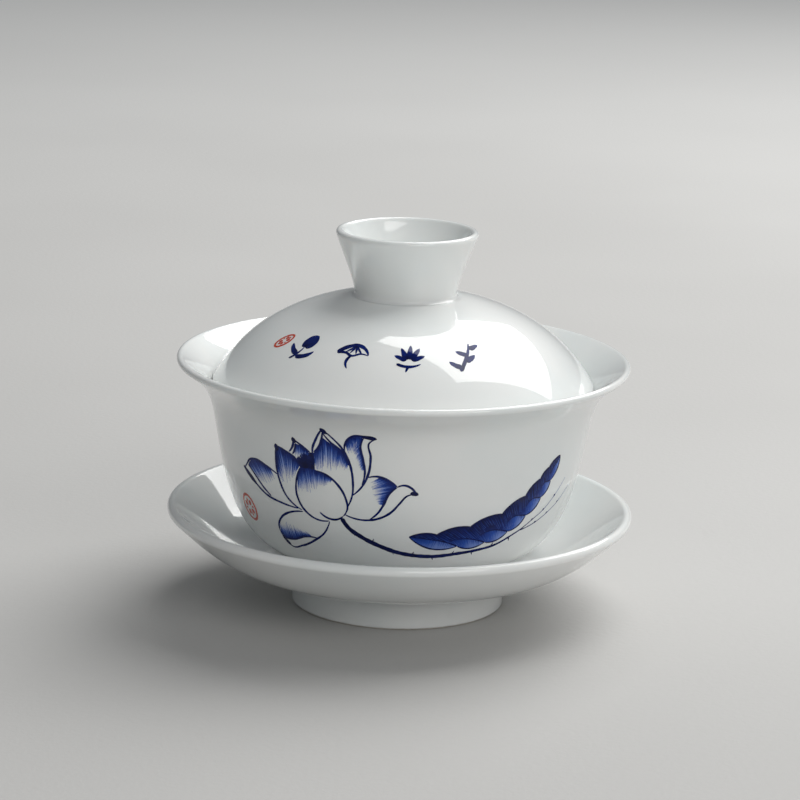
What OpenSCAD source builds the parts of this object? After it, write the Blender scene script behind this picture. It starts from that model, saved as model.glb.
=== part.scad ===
// Gaiwan: a lidded tea bowl standing on a saucer, in thin white porcelain.
// Every piece is turned about the Z axis, and the saucer stands on the plane z = 0.
// Sections are drawn as [radius, height] in millimetres.

/* [Saucer] */
// Diameter over the saucer's rim
saucer_d = 109; // [88:1:132]
// Height of the saucer's rim above the table
saucer_h = 23.5; // [19:0.1:28]
// Thickness of the dish at its centre
saucer_wall = 2.6; // [2.1:0.1:3.4]
// Thickness of the saucer's rounded lip
saucer_lip_t = 2.4; // [1.6:0.1:3]
// Height of the foot ring under the dish
saucer_foot_h = 8.6; // [7:0.1:10.4]
// Width of the foot ring's wall
saucer_foot_w = 3.4; // [2.4:0.1:5]
// How far the foot ring stands outside the well
saucer_foot_margin = 2.2; // [1.6:0.1:4]
// Depth of the well that the bowl's foot stands in
well_depth = 1.5; // [1.2:0.1:1.8]

/* [Bowl] */
// Diameter over the bowl's rim
bowl_d = 105.4; // [86:0.1:128]
// Height of the bowl from its foot to its rim
bowl_h = 49; // [41:0.1:60]
// How far the flared rim stands out beyond the side wall
bowl_flare = 9; // [7:0.1:12]
// Height of the flared part of the wall
bowl_flare_h = 15; // [12:0.1:18]
// Wall thickness at the bottom of the bowl
bowl_wall = 2.8; // [2.2:0.1:3.6]
// Thickness of the bowl's rounded lip
bowl_lip_t = 1.7; // [1.4:0.1:2.6]
// Diameter of the bowl's foot ring
bowl_foot_d = 44; // [36:0.5:53]
// Height of the bowl's foot ring
bowl_foot_h = 2.3; // [1.9:0.1:4]
// Width of the foot ring's wall
bowl_foot_w = 2.8; // [2:0.1:4]
// Depth of the hollow inside the foot ring
bowl_foot_hollow = 1.9; // [1:0.1:2.3]

/* [Lid] */
// How far below the bowl's rim the lid's edge rests
lid_seat_depth = 6.5; // [5:0.1:8]
// Height of the lid from its edge to the land under the knob
lid_h = 21.6; // [17:0.1:27]
// Thickness of the lid at its crown
lid_wall = 2.8; // [2.2:0.1:3.6]
// Thickness of the lid's rounded edge
lid_edge_t = 2.2; // [1.6:0.1:2.8]

/* [Knob] */
// Diameter over the knob's rim
knob_d = 32.9; // [29:0.1:40]
// Diameter of the knob where it joins the lid
knob_base_d = 23.6; // [19:0.1:29]
// Height of the knob
knob_h = 15.4; // [12:0.1:18]
// Wall thickness where the knob joins the lid
knob_wall = 2.6; // [2:0.1:3.4]
// Thickness of the knob's rounded lip
knob_lip_t = 1.7; // [1.2:0.1:2.2]
// Radius of the fillet of clay around the knob's base
knob_fillet = 0.9; // [0.5:0.1:1.4]

/* [Fits] */
// Free space between the lid's edge and the bowl's wall
seat_gap = 0.15; // [0.1:0.01:0.3]
// Free space between the bowl's foot and the side of the well
well_gap = 0.8; // [0.4:0.1:1.5]
// Free height under a piece that rests on another
rest_gap = 0.05; // [0.02:0.01:0.1]
// Bevel on the edges of the foot rings and the well
bevel = 0.5; // [0.3:0.05:0.7]

/* [Hidden] */
$fn = 96;

// Directions of the curves where they start and end, in degrees above the horizontal
dish_angles = [4, 44];
belly_angles = [4, 80];
flare_angles = [belly_angles[1], 34];
dome_angles = [-10, -59];
knob_angles = [79, 72];

// Pull of each curve's two handles, as shares of the distance between its ends
dish_pull = [0.45, 0.5];
belly_pull = [0.42, 0.44];
flare_pull = [0.42, 0.48];
dome_pull = [0.33, 0.4];
knob_pull = [0.32, 0.32];

// Number of straight stretches in a long curve, a short one and an arc
curve_steps = 18;
short_curve_steps = 12;
arc_steps = 8;

// Wall of the bowl where the belly meets the flare
bowl_waist_wall = (bowl_wall + bowl_lip_t) / 2;
// Land on the lid's crown that carries the knob, beyond the fillet
land_margin = 0.3;
// Direction in which the fillet's arc starts on the land
fillet_start = 250;

// A curve from p0 to p3, which leaves and arrives at the given angles
function curve(p0, p3, angles, pull) =
    let (reach = norm(p3 - p0))
    [p0,
     p0 + pull[0] * reach * direction(angles[0]),
     p3 - pull[1] * reach * direction(angles[1]),
     p3];

function direction(angle) = [cos(angle), sin(angle)];

function point_on(c, t) =
    pow(1 - t, 3) * c[0] + 3 * pow(1 - t, 2) * t * c[1]
    + 3 * (1 - t) * t * t * c[2] + pow(t, 3) * c[3];

// Unit normal on the left of the way along the curve
function left_of(c, t) =
    let (d = pow(1 - t, 2) * (c[1] - c[0]) + 2 * (1 - t) * t * (c[2] - c[1]) + t * t * (c[3] - c[2]))
    [-d[1], d[0]] / norm(d);

// The point a wall's thickness away from the curve, on its left
function across(c, t, walls) =
    point_on(c, t) + (walls[0] + (walls[1] - walls[0]) * t) * left_of(c, t);

// The curve's points without its last one, and the wall's other face coming back
function outward(c, steps) = [for (i = [0:steps - 1]) point_on(c, i / steps)];
function back(c, steps, walls) = [for (i = [steps - 1:-1:0]) across(c, i / steps, walls)];

// An arc about a centre, from one angle to another, for a lip or a fillet
function arc(centre, r, from, to) =
    [for (i = [0:arc_steps]) centre + r * direction(from + (to - from) * i / arc_steps)];

// Foot ring's outline from the hollow's ceiling to the table and up its outer side
function foot(r, w, bottom, ceiling) =
    [[r - w - bevel, ceiling],
     [r - w, ceiling - bevel],
     [r - w, bottom + bevel],
     [r - w + bevel, bottom],
     [r - bevel, bottom],
     [r, bottom + bevel]];

// Saucer
saucer_lip_r = saucer_lip_t / 2;
well_r = bowl_foot_d / 2 + well_gap;
saucer_foot_r = well_r + saucer_foot_margin;
well_z = saucer_foot_h + saucer_wall - well_depth;
saucer_hollow_z = well_z - saucer_wall;
saucer_lip_c = [saucer_d / 2 - saucer_lip_r, saucer_h - saucer_lip_r];
dish = curve([saucer_foot_r, saucer_foot_h],
             saucer_lip_c + saucer_lip_r * direction(dish_angles[1] - 90),
             dish_angles, dish_pull);

// Bowl
bowl_z = well_z + rest_gap;
rim_z = bowl_z + bowl_h;
bowl_foot_r = bowl_foot_d / 2;
bowl_lip_r = bowl_lip_t / 2;
bowl_lip_c = [bowl_d / 2 - bowl_lip_r, rim_z - bowl_lip_r];
waist = [bowl_d / 2 - bowl_flare, rim_z - bowl_flare_h];
belly = curve([bowl_foot_r, bowl_z + bowl_foot_h], waist, belly_angles, belly_pull);
flare = curve(waist, bowl_lip_c + bowl_lip_r * direction(flare_angles[1] - 90),
              flare_angles, flare_pull);
belly_walls = [bowl_wall, bowl_waist_wall];
flare_walls = [bowl_waist_wall, bowl_lip_t];
bowl_floor_z = across(belly, 0, belly_walls)[1];

// Share of the way up the flare at which the inner wall is at height z
function seat_share(z, low, high, rounds) =
    let (middle = (low + high) / 2)
    rounds == 0 ? middle :
    across(flare, middle, flare_walls)[1] < z ? seat_share(z, middle, high, rounds - 1) :
    seat_share(z, low, middle, rounds - 1);

// Lid, whose edge rests on the inner wall of the flare
seat = seat_share(rim_z - lid_seat_depth, 0, 1, 24);
lid_edge_r = lid_edge_t / 2;
lid_edge_c = across(flare, seat, flare_walls) + (lid_edge_r + seat_gap) * left_of(flare, seat);
crown_z = lid_edge_c[1] - lid_edge_r + lid_h;
knob_base_r = knob_base_d / 2;
fillet_c = [knob_base_r + knob_fillet, crown_z - knob_fillet * sin(fillet_start)];
land_r = fillet_c[0] + knob_fillet * cos(fillet_start) + land_margin;
dome = curve([land_r, crown_z], lid_edge_c + lid_edge_r * direction(dome_angles[1] + 90),
             dome_angles, dome_pull);
dome_walls = [-lid_wall, -lid_edge_t];

// Knob
knob_lip_r = knob_lip_t / 2;
knob_lip_c = [knob_d / 2 - knob_lip_r, crown_z + knob_h - knob_lip_r];
knob_side = curve([knob_base_r, fillet_c[1]],
                  knob_lip_c + knob_lip_r * direction(knob_angles[1] - 90),
                  knob_angles, knob_pull);
knob_walls = [knob_wall, knob_lip_t];

module saucer() {
    color("whitesmoke")
    rotate_extrude()
    polygon(concat(
        [[0, saucer_hollow_z]],
        foot(saucer_foot_r, saucer_foot_w, 0, saucer_hollow_z),
        outward(dish, curve_steps),
        arc(saucer_lip_c, saucer_lip_r, dish_angles[1] - 90, dish_angles[1] + 90),
        back(dish, curve_steps, [saucer_wall, saucer_lip_t]),
        [[well_r + bevel, well_z + well_depth],
         [well_r, well_z + well_depth - bevel],
         [well_r, well_z],
         [0, well_z]]));
}

module bowl() {
    color("white")
    rotate_extrude()
    polygon(concat(
        [[0, bowl_z + bowl_foot_hollow]],
        foot(bowl_foot_r, bowl_foot_w, bowl_z, bowl_z + bowl_foot_hollow),
        outward(belly, curve_steps),
        outward(flare, short_curve_steps),
        arc(bowl_lip_c, bowl_lip_r, flare_angles[1] - 90, flare_angles[1] + 90),
        back(flare, short_curve_steps, flare_walls),
        back(belly, curve_steps, belly_walls),
        [[0, bowl_floor_z]]));
}

module lid_dome() {
    color("ghostwhite")
    rotate_extrude()
    polygon(concat(
        [[0, crown_z]],
        outward(dome, curve_steps),
        arc(lid_edge_c, lid_edge_r, dome_angles[1] + 90, dome_angles[1] - 90),
        back(dome, curve_steps, dome_walls),
        [[0, across(dome, 0, dome_walls)[1]]]));
}

module lid_knob() {
    color("snow")
    rotate_extrude()
    polygon(concat(
        arc(fillet_c, knob_fillet, fillet_start, 180),
        [for (i = [1:short_curve_steps - 1]) point_on(knob_side, i / short_curve_steps)],
        arc(knob_lip_c, knob_lip_r, knob_angles[1] - 90, knob_angles[1] + 90),
        back(knob_side, short_curve_steps, knob_walls),
        [[knob_base_r - knob_wall, crown_z]]));
}

saucer();
bowl();
lid_dome();
lid_knob();
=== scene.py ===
"""A lidded tea bowl on its saucer: glazed white porcelain with a lotus brushed on the wall in blue.

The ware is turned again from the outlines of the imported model, finely enough for a clean glaze, and the
painting is laid on it as thin films of colour. Every class holds the sizes of one sub-assembly or finish.
"""

import logging
import math
import random
from collections.abc import Callable, Sequence
from dataclasses import dataclass
from enum import Enum
from typing import NamedTuple

import bmesh
import bpy
import numpy as np
from mathutils import Matrix, Vector


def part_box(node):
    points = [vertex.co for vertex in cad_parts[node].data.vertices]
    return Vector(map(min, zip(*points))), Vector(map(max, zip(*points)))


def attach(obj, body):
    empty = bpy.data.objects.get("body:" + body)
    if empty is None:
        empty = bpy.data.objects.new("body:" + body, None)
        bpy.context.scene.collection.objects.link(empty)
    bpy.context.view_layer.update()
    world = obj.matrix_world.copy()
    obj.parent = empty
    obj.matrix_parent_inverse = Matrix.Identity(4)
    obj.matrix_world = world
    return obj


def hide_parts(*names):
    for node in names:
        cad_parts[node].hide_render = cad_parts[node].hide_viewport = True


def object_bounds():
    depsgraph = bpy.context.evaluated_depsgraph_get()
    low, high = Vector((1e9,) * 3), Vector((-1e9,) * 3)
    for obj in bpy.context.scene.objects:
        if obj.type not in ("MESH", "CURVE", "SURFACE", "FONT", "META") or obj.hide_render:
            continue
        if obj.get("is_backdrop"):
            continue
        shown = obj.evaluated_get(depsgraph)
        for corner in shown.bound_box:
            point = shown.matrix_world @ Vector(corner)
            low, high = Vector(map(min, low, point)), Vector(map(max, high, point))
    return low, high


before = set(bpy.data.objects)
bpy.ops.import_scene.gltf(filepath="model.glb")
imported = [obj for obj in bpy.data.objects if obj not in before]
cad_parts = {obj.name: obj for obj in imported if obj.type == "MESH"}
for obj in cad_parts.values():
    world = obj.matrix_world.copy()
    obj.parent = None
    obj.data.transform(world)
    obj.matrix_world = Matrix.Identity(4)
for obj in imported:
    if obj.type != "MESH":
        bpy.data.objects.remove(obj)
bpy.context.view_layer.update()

Point = tuple[float, float]
Pair = tuple[float, float]
Colour = tuple[float, float, float]
Line = Sequence[Point]
Settings = dict[str, object]
Inputs = dict[str | int, object]

MM = 0.001
FULL_TURN = 2 * math.pi
FULLY_GLAZED = -1.0 * MM
NO_LENGTH = 1e-12
INK = "ink"

log = logging.getLogger("tea_bowl")


# ---------------------------------------------------------------------------------------------------
# Shader recipes
# ---------------------------------------------------------------------------------------------------


class Signal:
    """A value that runs from one node to another, so that sums on it are written as sums."""

    def __init__(self, recipe: "Recipe", socket: bpy.types.NodeSocket) -> None:
        """Keeps the recipe that the nodes go in and the socket that the value comes out of."""
        self.recipe = recipe
        self.socket = socket

    def _calculate(self, operation: str, first: object, second: object) -> "Signal":
        """Adds one Math node to the recipe."""
        return self.recipe.node("ShaderNodeMath", {"operation": operation}, {0: first, 1: second})

    def __add__(self, other: object) -> "Signal":
        """self + other"""
        return self._calculate("ADD", self, other)

    def __radd__(self, other: object) -> "Signal":
        """other + self"""
        return self._calculate("ADD", other, self)

    def __sub__(self, other: object) -> "Signal":
        """self - other"""
        return self._calculate("SUBTRACT", self, other)

    def __rsub__(self, other: object) -> "Signal":
        """other - self"""
        return self._calculate("SUBTRACT", other, self)

    def __mul__(self, other: object) -> "Signal":
        """self * other"""
        return self._calculate("MULTIPLY", self, other)

    def __rmul__(self, other: object) -> "Signal":
        """other * self"""
        return self._calculate("MULTIPLY", other, self)

    def between(self, low: float, high: float) -> "Signal":
        """Runs smoothly from 0 at low to 1 at high, which may be the lower of the two."""
        inputs = {"Value": self, "From Min": low, "From Max": high}
        return self.recipe.node("ShaderNodeMapRange", {"interpolation_type": "SMOOTHSTEP"}, inputs)


class Recipe:
    """One material, built up node by node."""

    def __init__(self, name: str) -> None:
        """Starts an empty material.

        Args:
            name: The material's name.
        """
        self.material = bpy.data.materials.new(name)
        self.material.use_nodes = True
        self.tree = self.material.node_tree
        self.tree.nodes.clear()

    def node(self, kind: str, settings: Settings, inputs: Inputs, output: str | int = 0) -> Signal:
        """Makes a node of any kind, and picks its result.

        Args:
            kind: The node's type.
            settings: The node's own settings; "stops" are a ramp's places and colours.
            inputs: A value or a Signal for each socket, by the socket's name or number.
            output: The name or number of the socket that the result comes out of.

        Returns:
            The node's result.
        """
        made = self._make(kind, settings, inputs)
        return Signal(self, self._socket(made.outputs, output))

    def _make(self, kind: str, settings: Settings, inputs: Inputs) -> bpy.types.Node:
        """Makes a node, with its settings first and its sockets after them.

        Args:
            kind: The node's type.
            settings: The node's own settings; "stops" are a ramp's places and colours.
            inputs: A value or a Signal for each socket, by the socket's name or number.

        Returns:
            The node.
        """
        made = self.tree.nodes.new(kind)
        for key, value in settings.items():
            if key == "stops":
                self._set_stops(made.color_ramp, value)
            else:
                setattr(made, key, value)
        for key, value in inputs.items():
            socket = self._socket(made.inputs, key)
            if isinstance(value, Signal):
                self.tree.links.new(value.socket, socket)
            elif isinstance(value, tuple) and socket.type == "RGBA":
                socket.default_value = (*value, 1.0)
            else:
                socket.default_value = value
        return made

    @staticmethod
    def _socket(sockets: Sequence[bpy.types.NodeSocket], key: str | int) -> bpy.types.NodeSocket:
        """Finds the socket in use that has this number or name."""
        used = [socket for socket in sockets if socket.enabled]
        return used[key] if isinstance(key, int) else next(s for s in used if s.name == key)

    @staticmethod
    def _set_stops(ramp: bpy.types.ColorRamp, stops: Sequence[tuple[float, Colour]]) -> None:
        """Gives a colour ramp its stops.

        Args:
            ramp: The ramp.
            stops: A place from 0 to 1 and a colour each.
        """
        while len(ramp.elements) < len(stops):
            ramp.elements.new(1.0)
        for element, (place, colour) in zip(ramp.elements, stops):
            element.position = place
            element.color = (*colour, 1.0)

    def here(self) -> Signal:
        """The place on the piece itself, in metres, which goes with the piece when it moves."""
        return self.node("ShaderNodeTexCoord", {}, {}, "Object")

    def noise(self, grain: float, detail: float = 2.0) -> Signal:
        """Makes a cloudy pattern on the piece.

        Args:
            grain: The size of one cloud, in metres.
            detail: How many finer layers lie over it.

        Returns:
            The pattern, from 0 to 1.
        """
        inputs = {"Vector": self.here(), "Scale": 1 / grain, "Detail": detail}
        return self.node("ShaderNodeTexNoise", {}, inputs)

    def blend(self, share: Signal, first: object, second: object) -> Signal:
        """Goes from the first colour to the second by a share from 0 to 1."""
        inputs = {"Factor": share, "A": first, "B": second}
        return self.node("ShaderNodeMix", {"data_type": "RGBA"}, inputs)

    def relief(self, height: Signal, depth: float, strength: float = 1.0) -> Signal:
        """The normal of a surface that rises and falls with a height, by a depth in metres."""
        return self.node("ShaderNodeBump", {}, {"Strength": strength, "Distance": depth, "Height": height})

    def finish(self, sockets: Inputs) -> bpy.types.Material:
        """Ends the recipe with the surface shader.

        Args:
            sockets: The shader's values and links.

        Returns:
            The material.
        """
        surface = self.node("ShaderNodeBsdfPrincipled", {}, sockets)
        self._make("ShaderNodeOutputMaterial", {}, {"Surface": surface})
        return self.material


@dataclass(frozen=True)
class Glaze:
    """The clear feldspar glaze that lies over the clay and the underglaze colours alike."""

    body_roughness: float = 0.32
    body_shine: float = 0.12
    shine_roughness: float = 0.035
    refraction: float = 1.52
    milkiness: float = 0.18
    milk_spread: Colour = (1.0, 0.92, 0.86)
    milk_depth: float = 0.0016
    ripple_size: float = 0.021
    ripple_height: float = 0.00009
    peel_size: float = 0.0011
    peel_height: float = 0.0000022

    def relief(self, recipe: Recipe) -> Signal:
        """The slow ripple left by the glaze as it ran, with the fine peel of its surface.

        Args:
            recipe: The recipe of the glazed finish.

        Returns:
            The surface's normal.
        """
        ripple = recipe.noise(self.ripple_size, detail=1.0)
        peel = recipe.noise(self.peel_size, detail=1.0)
        height = ripple + peel * (self.peel_height / self.ripple_height)
        return recipe.relief(height, self.ripple_height)

    def sockets(self) -> Inputs:
        """The shader's values that every glazed finish shares.

        Returns:
            The values, by the socket's name.
        """
        return {
            "IOR": self.refraction,
            "Specular IOR Level": self.body_shine,
            "Coat Roughness": self.shine_roughness,
            "Coat IOR": self.refraction,
            "Subsurface Weight": self.milkiness,
            "Subsurface Radius": self.milk_spread,
            "Subsurface Scale": self.milk_depth,
        }


GLAZE = Glaze()
PORCELAIN_WHITE: Colour = (0.82, 0.83, 0.82)
PORCELAIN_COOL: Colour = (0.775, 0.805, 0.80)


@dataclass(frozen=True)
class Porcelain:
    """White clay under clear glaze, wiped bare where the ware stands in the kiln."""

    name: str
    bare_level: float
    bare_clay: Colour = (0.70, 0.655, 0.59)
    bare_edge: float = 0.00018
    bare_edge_grain: float = 0.0008
    bare_roughness: float = 0.5
    grit_size: float = 0.00035
    grit_shade: float = 0.86
    cloud_size: float = 0.03
    cloud_band: Pair = (0.32, 0.68)
    cloud_roughness: float = 0.03
    speck_spacing: float = 0.0065
    speck_size: float = 0.018
    speck_band: Pair = (0.60, 0.64)
    speck_strength: float = 0.55
    speck_colour: Colour = (0.33, 0.29, 0.25)

    def material(self) -> bpy.types.Material:
        """Builds the finish.

        Returns:
            The material.
        """
        recipe = Recipe(self.name)
        bare = self._bare(recipe)
        clouds = recipe.noise(self.cloud_size, detail=3.0).between(*self.cloud_band)
        white = recipe.blend(clouds, PORCELAIN_COOL, PORCELAIN_WHITE)
        glazed = recipe.blend(self._specks(recipe), white, self.speck_colour)
        shaded_clay = tuple(self.grit_shade * part for part in self.bare_clay)
        clay = recipe.blend(recipe.noise(self.grit_size), self.bare_clay, shaded_clay)
        sheen = GLAZE.body_roughness + clouds * self.cloud_roughness
        return recipe.finish(
            {
                **GLAZE.sockets(),
                "Base Color": recipe.blend(bare, glazed, clay),
                "Roughness": sheen + bare * self.bare_roughness,
                "Coat Weight": 1 - bare,
                "Normal": GLAZE.relief(recipe),
            }
        )

    def _bare(self, recipe: Recipe) -> Signal:
        """Where the glaze is wiped off, which ends in a wavering line.

        Args:
            recipe: The finish's recipe.

        Returns:
            1 on the bare clay and 0 on the glaze.
        """
        height = recipe.node("ShaderNodeSeparateXYZ", {}, {"Vector": recipe.here()}, "Z")
        wavering = height + (recipe.noise(self.bare_edge_grain, detail=3.0) - 0.5) * self.bare_edge
        return wavering.between(self.bare_level + self.bare_edge, self.bare_level)

    def _specks(self, recipe: Recipe) -> Signal:
        """The rare iron specks in the clay.

        Args:
            recipe: The finish's recipe.

        Returns:
            The specks' strength.
        """
        cells = {"Vector": recipe.here(), "Scale": 1 / self.speck_spacing, "Randomness": 1.0}
        distance = recipe.node("ShaderNodeTexVoronoi", {}, cells, "Distance")
        rare = recipe.noise(self.speck_spacing * 3, detail=0.0).between(*self.speck_band)
        return distance.between(self.speck_size, self.speck_size * 0.5) * rare * self.speck_strength


@dataclass(frozen=True)
class Cobalt:
    """Blue under the glaze: pale where the brush was dry, nearly black where the colour pooled."""

    name: str = "cobalt_underglaze"
    shades: tuple[tuple[float, Colour], ...] = (
        (0.0, PORCELAIN_WHITE),
        (0.3, (0.24, 0.35, 0.72)),
        (0.58, (0.025, 0.085, 0.44)),
        (0.82, (0.003, 0.018, 0.17)),
        (1.0, (0.001, 0.004, 0.05)),
    )
    pool_size: float = 0.0011
    pool_share: float = 0.22
    pool_roughness: float = 0.1
    own_shine: float = 0.0
    glaze_shine: float = 0.48

    def material(self) -> bpy.types.Material:
        """Builds the finish, which reads how strong the colour is from the film's own points.

        Returns:
            The material.
        """
        recipe = Recipe(self.name)
        strength = recipe.node("ShaderNodeAttribute", {"attribute_name": INK}, {}, "Fac")
        pools = (recipe.noise(self.pool_size, detail=3.0) - 0.5) * self.pool_share
        worn = strength + pools * strength
        shade = recipe.node("ShaderNodeValToRGB", {"stops": self.shades}, {"Fac": worn}, "Color")
        return recipe.finish(
            {
                **GLAZE.sockets(),
                "Base Color": shade,
                "Roughness": GLAZE.body_roughness + pools * self.pool_roughness,
                "Specular IOR Level": self.own_shine,
                "Coat Weight": self.glaze_shine,
                "Normal": GLAZE.relief(recipe),
            }
        )


@dataclass(frozen=True)
class IronRed:
    """Red enamel stamped over the glaze, thin in places, with a softer shine than the glaze."""

    name: str = "iron_red_enamel"
    full: Colour = (0.54, 0.028, 0.008)
    thin: Colour = (0.62, 0.095, 0.045)
    stamp_grain: float = 0.0005
    stamp_band: Pair = (0.42, 0.66)
    roughness: float = 0.30
    thin_roughness: float = 0.12
    shine: float = 0.85
    thin_loss: float = 0.2

    def material(self) -> bpy.types.Material:
        """Builds the finish.

        Returns:
            The material.
        """
        recipe = Recipe(self.name)
        patches = recipe.noise(self.stamp_grain, detail=3.0).between(*self.stamp_band)
        return recipe.finish(
            {
                **GLAZE.sockets(),
                "Base Color": recipe.blend(patches, self.full, self.thin),
                "Roughness": self.roughness + patches * self.thin_roughness,
                "Coat Weight": self.shine - patches * self.thin_loss,
                "Normal": GLAZE.relief(recipe),
            }
        )


@dataclass(frozen=True)
class TablePaint:
    """The pale matt table that the ware stands on, with painted light: its colour grows paler with distance
    from the ware, to make up for the lamps' falloff.
    """

    name: str = "pale_table"
    light: Colour = (0.54, 0.535, 0.525)
    dark: Colour = (0.50, 0.495, 0.485)
    # painted light: the paler colour of the far table, standing in for light that the lamps do not reach
    # there
    far: Colour = (0.86, 0.86, 0.85)
    near_radius: float = 0.25
    far_radius: float = 1.6
    cloud_size: float = 0.35
    cloud_band: Pair = (0.35, 0.65)
    tooth_size: float = 0.0016
    tooth_height: float = 0.0002
    tooth_strength: float = 0.35
    tooth_roughness: float = 0.15
    roughness: float = 0.62

    def material(self) -> bpy.types.Material:
        """Builds the finish.

        Returns:
            The material.
        """
        recipe = Recipe(self.name)
        clouds = recipe.noise(self.cloud_size, detail=3.0).between(*self.cloud_band)
        tooth = recipe.noise(self.tooth_size, detail=3.0)
        # painted light: the table's colour runs from its own tone near the ware to the paler far colour, to
        # even out the lamps' falloff
        distance = recipe.node("ShaderNodeVectorMath", {"operation": "LENGTH"}, {0: recipe.here()}, "Value")
        painted_light_ramp = distance.between(self.near_radius, self.far_radius)
        return recipe.finish(
            {
                "Base Color": recipe.blend(painted_light_ramp, recipe.blend(clouds, self.light, self.dark), self.far),
                "Roughness": self.roughness + tooth * self.tooth_roughness,
                "Normal": recipe.relief(tooth, self.tooth_height, self.tooth_strength),
            }
        )


# ---------------------------------------------------------------------------------------------------
# Outlines, turning and painting
# ---------------------------------------------------------------------------------------------------


def unit(vectors: np.ndarray) -> np.ndarray:
    """Scales each vector to length 1, and leaves a vector of no length as it is."""
    return vectors / np.maximum(np.linalg.norm(vectors, axis=-1, keepdims=True), NO_LENGTH)


def mix(first: Point, second: Point, share: float) -> Point:
    """A point a share of the way from the first point to the second."""
    return (first[0] + (second[0] - first[0]) * share, first[1] + (second[1] - first[1]) * share)


def run_along(line: np.ndarray) -> np.ndarray:
    """The distance along a line at each of its points, from 0."""
    return np.concatenate([[0.0], np.cumsum(np.linalg.norm(np.diff(line, axis=0), axis=1))])


def bends(legs: np.ndarray, corner: float, looped: bool) -> tuple[np.ndarray, np.ndarray]:
    """Chooses the ways in which a smooth line leaves and reaches its points.

    Args:
        legs: The straight legs from point to point.
        corner: The turn, in degrees, from which a point is a corner.
        looped: Whether the last leg ends where the first starts.

    Returns:
        For each leg, the way at its start and the way at its end.
    """
    straight_ratio = 4.0
    lengths = np.linalg.norm(legs, axis=1)
    ways = unit(legs)
    leaving, arriving = ways.copy(), ways.copy()
    last = len(ways) - 1
    joints = [(i, i + 1) for i in range(last)] + ([(last, 0)] if looped else [])
    for before, after in joints:
        turned = math.degrees(math.acos(float(np.clip(ways[before] @ ways[after], -1, 1))))
        if turned > corner:
            continue
        way = ways[before] * lengths[after] + ways[after] * lengths[before]
        if lengths[before] > straight_ratio * lengths[after]:
            way = ways[before]
        elif lengths[after] > straight_ratio * lengths[before]:
            way = ways[after]
        arriving[before] = leaving[after] = unit(way)
    if not looped:
        leaving[0] = 2 * (arriving[0] @ ways[0]) * ways[0] - arriving[0]
        arriving[last] = 2 * (leaving[last] @ ways[last]) * ways[last] - leaving[last]
    return leaving, arriving


def flow(points: Line | np.ndarray, step: float, corner: float = 70.0, looped: bool = False) -> np.ndarray:
    """Runs a smooth line through points, and keeps the corners.

    Args:
        points: The points, in order.
        step: The longest leg of the result, in the points' own unit.
        corner: The turn, in degrees, from which a point is a corner.
        looped: Whether the last point joins the first.

    Returns:
        The line's points.
    """
    given = np.asarray(points, float)
    if looped:
        given = np.vstack([given, given[:1]])
    legs = np.diff(given, axis=0)
    lengths = np.linalg.norm(legs, axis=1)
    leaving, arriving = bends(legs, corner, looped)
    parts = []
    for start, end, length, out, back in zip(given[:-1], given[1:], lengths, leaving, arriving):
        count = max(1, math.ceil(length / step))
        t = (np.arange(count) / count)[:, None]
        ease = t * t * (3 - 2 * t)
        pull_out = (t**3 - 2 * t**2 + t) * length
        pull_in = (t**3 - t**2) * length
        parts.append(start * (1 - ease) + end * ease + out * pull_out + back * pull_in)
    if not looped:
        parts.append(given[-1:])
    return np.vstack(parts)


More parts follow.
